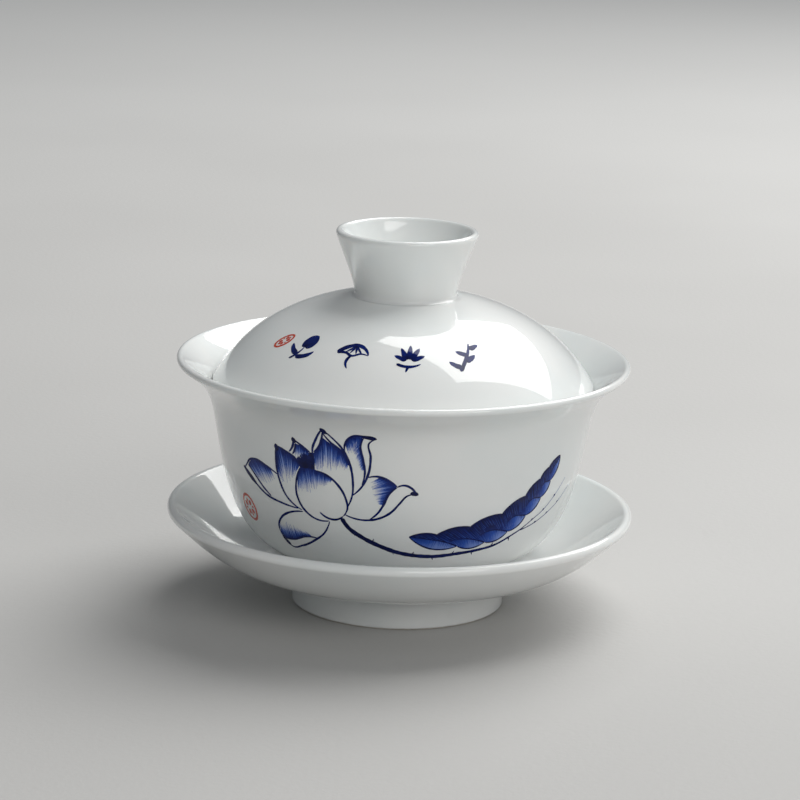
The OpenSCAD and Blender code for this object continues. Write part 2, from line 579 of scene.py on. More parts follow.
class Outline:
    """The turned outline of one CAD node: radius and height, in metres, from its highest point on."""

    merge_distance = 1e-6
    cut_tolerance = 1e-7
    fine_step = 0.05 * MM
    rounding = 0.14 * MM
    rounding_reach = 4
    longest_step = 3.0 * MM
    widest_bend = 12.0
    deepest_sag = 0.003 * MM
    corner_angle = 40.0

    def __init__(self, node: bpy.types.Object) -> None:
        """Cuts the node through its axis and smooths the line of the cut.

        Args:
            node: The CAD node, turned about the frame's Z axis.
        """
        cut, self.looped = self._cut(node)
        line = flow(cut, self.fine_step, self.corner_angle, self.looped)
        self.line = self._soften(line)

    def _cut(self, node: bpy.types.Object) -> tuple[np.ndarray, bool]:
        """Reads the node's section.

        Args:
            node: The CAD node.

        Returns:
            The section's points in order, and whether they close on themselves.
        """
        mesh = bmesh.new()
        mesh.from_mesh(node.data)
        bmesh.ops.remove_doubles(mesh, verts=mesh.verts, dist=self.merge_distance)
        for normal, keep_front in (((0, 1, 0), False), ((1, 0, 0), True)):
            bmesh.ops.bisect_plane(
                mesh,
                geom=[*mesh.verts, *mesh.edges, *mesh.faces],
                dist=self.cut_tolerance,
                plane_co=(0, 0, 0),
                plane_no=normal,
                clear_inner=True,
                clear_outer=not keep_front,
            )
        ends = [v for v in mesh.verts if len(v.link_edges) == 1]
        looped = not ends
        start = max(ends or mesh.verts, key=lambda v: (v.co.z, -v.co.x))
        chain = [start]
        seen = {start}
        while True:
            onward = [e.other_vert(chain[-1]) for e in chain[-1].link_edges]
            onward = [v for v in onward if v not in seen]
            if not onward:
                break
            step = max(onward, key=lambda v: v.co.x)
            chain.append(step)
            seen.add(step)
        points = np.array([(v.co.x, v.co.z) for v in chain])
        mesh.free()
        return self._without_straight_points(points), looped

    @staticmethod
    def _without_straight_points(points: np.ndarray) -> np.ndarray:
        """Leaves out the points that lie on a straight stretch.

        Args:
            points: The section's points.

        Returns:
            The points where the section bends, and its two ends.
        """
        straight_cosine = 0.9999995
        ways = unit(np.diff(points, axis=0))
        turns = [True, *((ways[:-1] * ways[1:]).sum(axis=1) < straight_cosine), True]
        return points[np.array(turns)]

    def _soften(self, line: np.ndarray) -> np.ndarray:
        """Rounds the corners a little, as glaze does.

        Args:
            line: The outline.

        Returns:
            The rounded outline, in even steps.
        """
        if self.looped:
            line = np.vstack([line, line[:1]])
        run = run_along(line)
        even = np.linspace(0, run[-1], round(run[-1] / self.fine_step) + 1)
        line = np.column_stack([np.interp(even, run, line[:, axis]) for axis in (0, 1)])
        reach = round(self.rounding_reach * self.rounding / self.fine_step)
        if self.looped:
            line = line[:-1]
            padded = np.vstack([line[-reach:], line, line[:reach]])
        else:
            across = np.array([-1.0, 1.0])
            padded = np.vstack([line[reach:0:-1] * across, line, line[-2 : -reach - 2 : -1] * across])
        offsets = np.arange(-reach, reach + 1) * self.fine_step
        weights = np.exp(-0.5 * (offsets / self.rounding) ** 2)
        weights /= weights.sum()
        return np.column_stack([np.convolve(padded[:, axis], weights, "valid") for axis in (0, 1)])

    def ribs(self) -> np.ndarray:
        """Picks the points that the turned mesh needs: close together where the line bends.

        Returns:
            The points, in order.
        """
        ways = unit(np.diff(self.line, axis=0))
        cosines = (ways[:-1] * ways[1:]).sum(axis=1)
        turns = np.degrees(np.arccos(np.clip(cosines, -1, 1)))
        kept, turned, travelled = [0], 0.0, 0.0
        for index in range(1, len(self.line) - 1):
            turned += turns[index - 1]
            travelled += self.fine_step
            arc_height = travelled * math.radians(turned) / 8
            if arc_height > self.deepest_sag or turned > self.widest_bend or travelled > self.longest_step:
                kept.append(index)
                turned = travelled = 0.0
        kept.append(len(self.line) - 1)
        return self.line[kept]


def link_mesh(name: str, points: Sequence, faces: Sequence) -> bpy.types.Object:
    """Makes a mesh piece.

    Args:
        name: The piece's name.
        points: Its points, in metres.
        faces: The faces, as lists of point numbers.

    Returns:
        The piece, smooth shaded.
    """
    mesh = bpy.data.meshes.new(name)
    mesh.from_pydata(points, [], faces)
    mesh.update()
    mesh.shade_smooth()
    piece = bpy.data.objects.new(name, mesh)
    bpy.context.scene.collection.objects.link(piece)
    return piece


def turn(name: str, outline: Outline, segments: int) -> bpy.types.Object:
    """Turns an outline about the frame's Z axis.

    Args:
        name: The piece's name.
        outline: The outline.
        segments: How many steps there are round the axis.

    Returns:
        The piece, closed.
    """
    ribs = outline.ribs()
    poles = [] if outline.looped else [ribs[0], ribs[-1]]
    rings = ribs if outline.looped else ribs[1:-1]
    angles = np.arange(segments) * FULL_TURN / segments
    circle = np.column_stack([np.cos(angles), np.sin(angles), np.zeros(segments)])
    points = np.vstack([circle * radius + (0, 0, height) for radius, height in rings]).tolist()
    count = len(rings)
    faces = []
    for ring in range(count if outline.looped else count - 1):
        here, below = ring * segments, (ring + 1) % count * segments
        for step in range(segments):
            onward = (step + 1) % segments
            faces.append((here + step, below + step, below + onward, here + onward))
    for pole, ring, upper in zip(poles, (0, count - 1), (True, False)):
        centre = len(points)
        points.append((0.0, 0.0, float(pole[1])))
        for step in range(segments):
            here, onward = ring * segments + step, ring * segments + (step + 1) % segments
            faces.append((centre, here, onward) if upper else (centre, onward, here))
    return link_mesh(name, points, faces)


class Sheet:
    """A turned wall laid flat for the painter: millimetres across at one girth, and up from one level."""

    def __init__(self, outline: Outline, girth: float, level: float) -> None:
        """Lays the outer side of a wall flat.

        Args:
            outline: The piece's outline.
            girth: The radius, in metres, at which a millimetre across is true.
            level: The height, in metres, of the line that the painter measures up from.
        """
        self.girth = girth
        self.skin = outline.line[int(np.argmax(outline.line[:, 1])) :]
        self.run = run_along(self.skin)
        self.start = self.run[int(np.argmax(self.skin[:, 1] <= level))]
        self.ways = unit(np.gradient(self.skin, axis=0))

    def place(self, sheet_points: np.ndarray, lift: float) -> np.ndarray:
        """Puts points of the sheet on the wall.

        Args:
            sheet_points: Places across and up, in millimetres.
            lift: How far above the wall they lie, in metres.

        Returns:
            The points in the frame, in metres.
        """
        run = self.start - sheet_points[:, 1] * MM
        radius, height = (np.interp(run, self.run, self.skin[:, axis]) for axis in (0, 1))
        way_out, way_up = (np.interp(run, self.run, self.ways[:, axis]) for axis in (0, 1))
        radius = radius - way_up * lift
        height = height + way_out * lift
        angle = sheet_points[:, 0] * MM / self.girth
        return np.column_stack([radius * np.sin(angle), -radius * np.cos(angle), height])


class Taper(Enum):
    """How a brush stroke's width runs from its start to its end."""

    EVEN = "even"
    LEAF = "thin at both ends"
    DAB = "full at the start, thin at the end"
    FLICK = "full at the start, a hair at the end"
    SWELL = "a hair at the start, full at the end"

    def share(self, t: np.ndarray) -> np.ndarray:
        """The share of the full width along the stroke.

        Args:
            t: Shares of the length, from 0 at the start.

        Returns:
            Shares of the full width.
        """
        leaf_tip, dab_tip, flick_tip, swell_tip = 0.42, 0.25, 0.12, 0.2
        leaf_fullness, dab_fullness, dab_start = 0.7, 0.8, 0.32
        match self:
            case Taper.LEAF:
                return leaf_tip + (1 - leaf_tip) * np.sin(np.pi * t) ** leaf_fullness
            case Taper.DAB:
                belly = np.sin(np.pi * (dab_start + (1 - dab_start) * t)) ** dab_fullness
                return dab_tip + (1 - dab_tip) * belly
            case Taper.FLICK:
                return 1 - (1 - flick_tip) * t
            case Taper.SWELL:
                return swell_tip + (1 - swell_tip) * t
            case _:
                return np.ones_like(t)


@dataclass(frozen=True)
class Stroke:
    """One brush stroke on a sheet, in millimetres, with the strength of its ink at both ends."""

    path: Line
    width: float = 0.42
    taper: Taper = Taper.LEAF
    ink: Pair = (0.95, 0.9)
    looped: bool = False


class Streaks(NamedTuple):
    """Hatching: its strokes to a millimetre, their width in millimetres, and the ink at their start."""

    density: float
    width: float
    strength: float


class Film:
    """A thin film of colour on a sheet: strokes and washes, gathered into one mesh of closed shells."""

    step = 0.32
    margin = 0.002
    sink = 0.05 * MM
    tremble = 0.10
    tremble_waves = (2.3, 0.9)
    thinnest = 0.025
    hatch_place = (0.1, 0.9)
    hatch_length = (0.55, 1.18)
    hatch_bow = (-0.04, 0.04)
    hatch_width = (0.75, 1.25)
    hatch_dryness = 0.55
    edge_angle = 40.0

    def __init__(self, sheet: Sheet, lift: float, seed: int) -> None:
        """Starts an empty film.

        Args:
            sheet: The wall it lies on.
            lift: The height of its top over the wall, in metres.
            seed: The seed of the hand's small tremble.
        """
        self.sheet = sheet
        self.lift = lift
        self.chance = random.Random(seed)
        self.points: list[list[float]] = []
        self.inks: list[float] = []
        self.faces: list[Sequence[int]] = []

    def stroke(self, stroke: Stroke) -> None:
        """Lays one stroke.

        Args:
            stroke: The stroke.
        """
        line = flow(stroke.path, self.step, looped=stroke.looped)
        if stroke.looped:
            line = np.vstack([line, line[:1]])
        run = run_along(line)
        t = run / run[-1]
        ways = unit(np.gradient(line, axis=0))
        aside = np.column_stack([-ways[:, 1], ways[:, 0]]) * self._half_widths(stroke, run)[:, None]
        left, right = line + aside, line - aside
        top = [self.sheet.place(side, self.lift) for side in (left, line, right)]
        bottom = [self.sheet.place(side, -self.sink) for side in (right, left)]
        start = len(self.points)
        around = len(top) + len(bottom)
        stations = np.stack([*top, *bottom], axis=1)
        self.points.extend(stations.reshape(-1, 3).tolist())
        ink = stroke.ink[0] + (stroke.ink[1] - stroke.ink[0]) * t
        self.inks.extend(np.repeat(ink, around).tolist())
        for station in range(len(line) - 1):
            here, onward = start + station * around, start + (station + 1) * around
            for side in range(around):
                beside = (side + 1) % around
                self.faces.append((here + side, here + beside, onward + beside, onward + side))
        last = start + (len(line) - 1) * around
        self.faces.append([start + side for side in reversed(range(around))])
        self.faces.append([last + side for side in range(around)])

    def _half_widths(self, stroke: Stroke, run: np.ndarray) -> np.ndarray:
        """The reach of a stroke to either side, with the hand's tremble and rounded ends.

        Args:
            stroke: The stroke.
            run: The distance along it at each of its points.

        Returns:
            The reach at each point, in millimetres.
        """
        length = run[-1]
        phase = self.chance.uniform(0, FULL_TURN)
        quick, slow = self.tremble_waves
        sway = 1 + self.tremble * np.sin(run * quick + phase) * np.sin(run * slow + 2 * phase)
        half = stroke.width / 2 * stroke.taper.share(run / length) * sway
        if not stroke.looped:
            nearest_end = np.minimum(run, length - run)
            rounded = np.clip(nearest_end / (stroke.width / 2), 0, 1)
            half = half * np.sqrt(1 - (1 - rounded) ** 2)
        return np.maximum(half, self.thinnest)

    def wash(self, near: Line, far: Line, ink: Callable[[float, float], float], rows: int = 14) -> None:
        """Fills the space between two lines with colour.

        Args:
            near: The line where the wash starts.
            far: The line where it ends, drawn in the same direction.
            ink: The strength at a share along the lines and a share across them.
            rows: How many steps there are across.
        """
        near_line, far_line = flow(near, self.step), flow(far, self.step)
        columns = max(len(near_line), len(far_line))
        shares = np.linspace(self.margin, 1 - self.margin, columns)
        first, second = (self._even(line, shares) for line in (near_line, far_line))
        grid = [first + (second - first) * v for v in np.linspace(0, 1, rows)]
        flat = np.vstack(grid)
        start = len(self.points)
        half = rows * columns
        self.points.extend(self.sheet.place(flat, self.lift).tolist())
        self.points.extend(self.sheet.place(flat, -self.sink).tolist())
        strengths = [ink(float(u), row / (rows - 1)) for row in range(rows) for u in shares]
        self.inks.extend(strengths + strengths)
        for row in range(rows - 1):
            for column in range(columns - 1):
                a = start + row * columns + column
                quad = (a, a + columns, a + columns + 1, a + 1)
                self.faces.append(quad)
                self.faces.append([point + half for point in reversed(quad)])
        rim = [
            *range(columns),
            *(row * columns + columns - 1 for row in range(1, rows)),
            *((rows - 1) * columns + column for column in reversed(range(columns - 1))),
            *(row * columns for row in reversed(range(1, rows - 1))),
        ]
        for a, b in zip(rim, rim[1:] + rim[:1]):
            self.faces.append((start + a, start + b, start + b + half, start + a + half))

    @staticmethod
    def _even(line: np.ndarray, shares: np.ndarray) -> np.ndarray:
        """The points of a line at shares of its length, from 0 to 1."""
        run = run_along(line)
        return np.column_stack([np.interp(shares * run[-1], run, line[:, axis]) for axis in (0, 1)])

    def hatch(self, edge: Line, reach: Line, density: float, width: float, strength: float) -> None:
        """Lays fine strokes that start on one line and run out towards another.

        Args:
            edge: The line that the strokes start on.
            reach: The line that they run out at, drawn in the same direction.
            density: How many strokes there are to a millimetre of the edge.
            width: Their width, in millimetres.
            strength: The ink at their start.
        """
        edge_line, reach_line = flow(edge, self.step), flow(reach, self.step)
        count = round(density * run_along(edge_line)[-1])
        for number in range(count):
            share = np.array([(number + self.chance.uniform(*self.hatch_place)) / count])
            start = self._even(edge_line, share)[0]
            end = self._even(reach_line, share)[0]
            length = self.chance.uniform(*self.hatch_length)
            bow = self.chance.uniform(*self.hatch_bow)
            along = (end - start) * length
            middle = start + along * 0.5 + np.array([-along[1], along[0]]) * bow
            path = (tuple(start), tuple(middle), tuple(start + along))
            wide = width * self.chance.uniform(*self.hatch_width)
            self.stroke(Stroke(path, wide, Taper.FLICK, (strength, strength * self.hatch_dryness)))

    def build(self, name: str) -> bpy.types.Object:
        """Makes the piece.

        Args:
            name: The piece's name.

        Returns:
            The piece, with the strength of the colour on its points.
        """
        piece = link_mesh(name, self.points, self.faces)
        tidy = bmesh.new()
        tidy.from_mesh(piece.data)
        bmesh.ops.recalc_face_normals(tidy, faces=tidy.faces)
        tidy.to_mesh(piece.data)
        tidy.free()
        strength = piece.data.attributes.new(INK, "FLOAT", "POINT")
        strength.data.foreach_set("value", np.array(self.inks, np.float32))
        piece.data.set_sharp_from_angle(angle=math.radians(self.edge_angle))
        return piece


# ---------------------------------------------------------------------------------------------------
# The ware
# ---------------------------------------------------------------------------------------------------


@dataclass
class Ware:
    """One turned piece of porcelain, which stands for one CAD node.

    Its clay is bare up to bare_height over its lowest point, and FULLY_GLAZED leaves none bare.
    """

    node: str
    body: str
    bare_height: float = 0.0
    segments: int = 288

    def build(self) -> Outline:
        """Turns the piece and glazes it.

        Returns:
            The piece's outline, for the painter.
        """
        outline = Outline(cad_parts[self.node])
        piece = turn(f"{self.node}_ware", outline, self.segments)
        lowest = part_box(self.node)[0].z
        finish = Porcelain(f"{self.node}_porcelain", lowest + self.bare_height)
        piece.data.materials.append(finish.material())
        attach(piece, self.body)
        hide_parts(self.node)
        log.info("%s: %d faces", piece.name, len(piece.data.polygons))
        return outline


@dataclass
class Painter:
    """Lays films of colour on one body, and dresses them."""

    sheet: Sheet
    body: str
    materials: dict[str, bpy.types.Material]
    wash_lift: float = 0.014 * MM
    hatch_lift: float = 0.020 * MM
    line_lift: float = 0.026 * MM

    def film(self, lift: float, seed: int) -> Film:
        """An empty film at one lift."""
        return Film(self.sheet, lift, seed)

    def lay(self, film: Film, name: str, slot: str = "cobalt_blue") -> None:
        """Builds a film as a piece of the body.

        Args:
            film: The film.
            name: The piece's name.
            slot: The material slot that its colour comes from.
        """
        piece = film.build(name)
        piece.data.materials.append(self.materials[slot])
        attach(piece, self.body)
        log.info("%s: %d faces", name, len(piece.data.polygons))


@dataclass(frozen=True)
class Petal:
    """One petal, drawn by hand in lines and in fans of hatching.

    A fan is the edge that its strokes start on, and the line that they run out at.
    """

    lines: tuple[Line, ...]
    fans: tuple[tuple[Line, Line], ...]
    density: float = 4.2
    tip: Line = ()


PETALS = {
    "far_left": Petal(
        lines=(
            ((-41.2, 7.5), (-38, 5), (-34, 2.5), (-29.5, 1.5), (-24.5, 1)),
            ((-41.2, 7.5), (-39.8, 8.9), (-38.6, 10.1), (-36.5, 10.7), (-33, 10), (-29.5, 8.5)),
            ((-39.5, 8.7), (-37, 6.5), (-34.5, 4), (-32.5, 2.5)),
        ),
        fans=(
            (
                ((-39.4, 8.6), (-38.2, 10), (-36.5, 10.5), (-34, 10.2), (-31.5, 9.4)),
                ((-36.4, 5.6), (-35.4, 5.6), (-34, 6), (-32.5, 6.5), (-30.5, 7.5)),
            ),
        ),
        tip=((-41.6, 8), (-40.6, 7.1), (-39, 5.8), (-37, 4.3)),
    ),
    "left": Petal(
        lines=(
            ((-29, 15.7), (-29.5, 12), (-29, 7), (-27.5, 3.5), (-23.5, 0.8)),
            ((-29, 15.7), (-26.5, 14.8), (-24, 13.5), (-22.8, 11.5)),
        ),
        fans=(
            (((-29.4, 11.5), (-29.3, 13.5), (-28.9, 15.5)), ((-28.9, 7.8), (-28.4, 7.6), (-27.6, 8))),
            (
                ((-28.9, 15.5), (-26.5, 14.8), (-24, 13.4), (-23, 12)),
                ((-27.6, 8), (-26.6, 8.2), (-25.2, 9), (-24, 10)),
            ),
        ),
        density=5.0,
        tip=((-29.1, 16.1), (-28.9, 15.2), (-28.7, 14.3)),
    ),
    "back": Petal(
        lines=(
            ((-24, 18.2), (-24.3, 16.5), (-25.5, 14.8)),
            ((-24, 18.2), (-22.5, 17.2), (-20, 15.5)),
            ((-23.6, 17.2), (-23.8, 15.8), (-24.6, 14.4)),
        ),
        fans=((((-23.6, 17.2), (-22.3, 16.8), (-20.4, 15.6)), ((-24, 14.4), (-22.6, 13.8), (-20.8, 14))),),
        density=6.0,
        tip=((-24.1, 18.7), (-23.9, 17.9), (-23.5, 17.2)),
    ),
    "tall": Petal(
        lines=(
            ((-16.5, 22.2), (-18.4, 19), (-19.4, 16.5), (-19.4, 14.5)),
            ((-16.5, 22.2), (-14.5, 20), (-12.5, 17.5), (-11, 14), (-10.4, 10), (-10.7, 6), (-12, 3)),
            ((-16.6, 21.2), (-17.1, 19), (-17.8, 17.4), (-19.2, 15.8)),
            ((-16.6, 21.2), (-15, 18.8), (-12.6, 16.8), (-11.2, 13.5)),
            ((-19.3, 15.5), (-19.6, 13.5), (-19.2, 11.5)),
        ),
        fans=(
            (((-19.3, 15.5), (-17.9, 17.2), (-16.8, 19.9)), ((-19.4, 12.4), (-18.2, 12.2), (-16.8, 12.5))),
            (
                ((-16.8, 19.9), (-15, 18.4), (-12.6, 16.4), (-11.4, 14)),
                ((-16.8, 12.5), (-15, 12.7), (-13, 13), (-11.6, 12.4)),
            ),
        ),
        density=5.0,
        tip=((-16.8, 22.6), (-16.3, 21.7), (-15.6, 20.9)),
    ),
    "right_curled": Petal(
        lines=(
            ((-12, 17), (-11.6, 19.4), (-9.8, 21.2), (-7.6, 21.3), (-5.4, 20.6)),
            ((-5.4, 20.6), (-6.6, 19.6), (-6.4, 16), (-6.9, 12), (-8.5, 8.5), (-10.6, 6.3)),
            ((-7.6, 21.1), (-8.5, 18.6), (-8, 15), (-7.7, 12), (-8.4, 9)),
        ),
        fans=(
            (
                ((-11.7, 18.6), (-10.9, 20.2), (-9.6, 21), (-7.9, 21.1)),
                ((-11.2, 16.8), (-10.6, 17.2), (-9.9, 17), (-9.2, 16.4)),
            ),
            (
                ((-7.9, 21.1), (-8.5, 18.6), (-8.1, 15.4), (-7.8, 13)),
                ((-9.9, 19), (-9.9, 17.2), (-9.2, 14.6), (-8.4, 12.4)),
            ),
        ),
        tip=((-8.2, 21.2), (-6.6, 21), (-5, 20.7)),
    ),
    "right_low": Petal(
        lines=(
            ((-7, 11), (-5, 11.4), (-2.6, 10.6), (-0.6, 9)),
            ((-0.6, 9), (1, 9.5), (2.5, 8.8), (3.6, 7.4)),
            ((3.6, 7.4), (1.6, 6.9), (0, 5), (-2, 2.6), (-4.6, 1), (-8, 0.3), (-12.6, 1.3)),
            ((-0.6, 9), (-2.5, 7), (-3.6, 4.5), (-5, 2.2), (-6.8, 0.6)),
        ),
        fans=(
            (((-4.5, 11.2), (-2.6, 10.5), (-0.8, 9)), ((-6.2, 10), (-5.9, 9), (-5.7, 7.8))),
            (((-0.8, 9), (-2.5, 7), (-3.7, 4.4)), ((-5.7, 7.8), (-5.4, 6.4), (-4.9, 4.6))),
        ),
        density=5.0,
        tip=((2.2, 7.5), (3.1, 7.5), (4.1, 7.2)),
    ),
    "bottom_left": Petal(
        lines=(
            ((-23.3, 0.4), (-27, -0.4), (-30.4, -2.5), (-32.2, -5.5), (-31.5, -8.5)),
            ((-31.5, -8.5), (-30, -10.5), (-26, -9.5), (-21.5, -7), (-18, -4), (-16.5, -1)),
            ((-31.5, -8.4), (-28, -8), (-24, -6.4), (-20.6, -6.2)),
        ),
        fans=(
            (
                ((-32, -7), (-31, -8.2), (-28, -7.9), (-24, -6.4), (-22, -6.2)),
                ((-31.8, -4.6), (-30.4, -4.2), (-27.6, -4.4), (-25, -4.8), (-23, -5.2)),
            ),
        ),
        tip=((-31.9, -7.6), (-31.2, -9), (-30.1, -10.4)),
    ),
    "front": Petal(
        lines=(
            ((-22.8, 11.5), (-24.2, 8), (-24.4, 4.2), (-22.6, 0.7), (-19.6, -1), (-16.6, -0.9)),
            ((-18.9, 11.3), (-16.4, 10.6), (-13.8, 8.4), (-12.2, 5.4), (-11.9, 2.8), (-13, 0.8)),
            ((-13, 0.8), (-14.8, -0.3), (-16.8, -0.2), (-18.8, 1.1)),
        ),
        fans=(
            (
                ((-23.8, 9.3), (-22.8, 11.3), (-20.6, 12), (-18.6, 11.35), (-16.2, 10.55), (-15.2, 9.7)),
                ((-24.1, 5.6), (-22.4, 5.9), (-20.6, 6.6), (-18.6, 7.4), (-16.8, 8.2), (-15.6, 9)),
            ),
        ),
        density=5.4,
    ),
}


@dataclass(frozen=True)
class Lotus:
    """The open lotus on the bowl's wall, with its thorny stem."""

    line_width: float = 0.56
    tip_width: float = 1.15
    hatch_width: float = 0.24
    hatch_strength: float = 0.86
    wash_strength: float = 0.78
    wash_fade: float = 1.3
    heart_top: Line = ((-23.6, 13.6), (-21.5, 15), (-19.6, 15.6))
    heart_foot: Line = ((-22.8, 11.2), (-21, 11.2), (-19.2, 11.2))
    heart_strength: float = 0.96
    stamen_feet: tuple[Point, Point] = ((-22.4, 11.4), (-19.5, 11.4))
    stamen_heads: tuple[Point, Point] = ((-23.4, 13.6), (-19.4, 15.8))
    stamen_crown: float = 0.8
    stamen_waves: float = 5.0
    stamen_bow: float = 0.15
    stamen_count: int = 11
    stamen_width: float = 0.5
    stamen_ink: Pair = (1.0, 0.9)
    stem: Line = (
        (-13.4, 0.3),
        (-12, -2),
        (-9, -4.2),
        (-4.5, -6.5),
        (0, -8.2),
        (4.5, -9.1),
        (9, -9.4),
        (15, -8.9),
        (20, -8.4),
        (25.5, -7.4),
        (29.5, -5.6),
        (33, -4),
    )
    stem_width: float = 1.16
    stem_ink: Pair = (1.0, 0.92)
    stem_step: float = 0.3
    thorn_width: float = 0.62
    thorn_reach: Point = (0.45, 1.15)
    thorn_count: int = 9
    thorn_margins: Pair = (0.8, 0.6)
    tendrils: tuple[Line, ...] = (
        ((32, -4.5), (35.5, -2.4), (39, -0.5), (42.5, 2.4), (46, 6.2)),
        ((32, -4.5), (37, -3.4), (41, -1.8), (45, 0.2), (49.5, 3.6)),
    )
    hair_width: float = 0.3
    hair_ink: Pair = (0.95, 0.62)
    knot_width: float = 0.52
    knot_reach: tuple[Point, Point] = ((-0.3, -0.15), (0.35, 0.35))
    knot_ink: Pair = (0.97, 0.9)

    def paint(self, painter: Painter) -> None:
        """Paints the flower, back petals first, then the stem.

        Args:
            painter: The painter of the bowl's wall.
        """
        shading = painter.film(painter.wash_lift, seed=11)
        hatching = painter.film(painter.hatch_lift, seed=12)
        lines = painter.film(painter.line_lift, seed=13)
        for petal in PETALS.values():
            for edge, reach in petal.fans:
                shading.wash(edge, reach, self._fade)
                hatching.hatch(edge, reach, petal.density, self.hatch_width, self.hatch_strength)
            for line in petal.lines:
                lines.stroke(Stroke(line, self.line_width))
            if petal.tip:
                lines.stroke(Stroke(petal.tip, self.tip_width, Taper.LEAF, (1.0, 1.0)))
        self._heart(lines, shading)
        painter.lay(shading, "lotus_shading")
        painter.lay(hatching, "lotus_hatching")
        painter.lay(lines, "lotus_lines")
        self._stem(painter)

    def _fade(self, along: float, across: float) -> float:
        """The shading's strength: full on the petal's edge and gone at its reach."""
        return self.wash_strength * (1 - across) ** self.wash_fade

    def _heart(self, lines: Film, shading: Film) -> None:
        """Paints the dark heart between the petals, with stamens that stand up out of it.

        Args:
            lines: The film of the drawn lines.
            shading: The film of the shading.
        """
        shading.wash(self.heart_top, self.heart_foot, lambda along, across: self.heart_strength)
        for number in range(self.stamen_count):
            share = number / (self.stamen_count - 1)
            foot = mix(*self.stamen_feet, share)
            head = mix(*self.stamen_heads, share)
            head = (head[0], head[1] + self.stamen_crown * math.sin(self.stamen_waves * share))
            middle = mix(foot, head, 0.5)
            path = (foot, (middle[0] + self.stamen_bow, middle[1]), head)
            lines.stroke(Stroke(path, self.stamen_width, Taper.LEAF, self.stamen_ink))

    def _stem(self, painter: Painter) -> None:
        """Paints the stem, its thorns and its two hair-thin tendrils with their knots.

        Args:
            painter: The painter of the bowl's wall.
        """
        film = painter.film(painter.line_lift, seed=14)
        film.stroke(Stroke(self.stem, self.stem_width, Taper.DAB, self.stem_ink))
        line = flow(self.stem, self.stem_step)
        before, after = self.thorn_margins
        for number in range(self.thorn_count):
            share = (number + before) / (self.thorn_count + after)
            root = line[int(share * (len(line) - 1))]
            side = 1 if number % 2 else -1
            thorn = (tuple(root), (root[0] + self.thorn_reach[0], root[1] + self.thorn_reach[1] * side))
            film.stroke(Stroke(thorn, self.thorn_width, Taper.FLICK, self.stem_ink))
        painter.lay(film, "lotus_stem")
        hairs = painter.film(painter.line_lift, seed=15)
        for tendril in self.tendrils:
            hairs.stroke(Stroke(tendril, self.hair_width, Taper.FLICK, self.hair_ink))
            for root in tendril[1:4]:
                knot = [(root[0] + across, root[1] + up) for across, up in self.knot_reach]
                hairs.stroke(Stroke(knot, self.knot_width, Taper.LEAF, self.knot_ink))
        painter.lay(hairs, "lotus_tendrils")


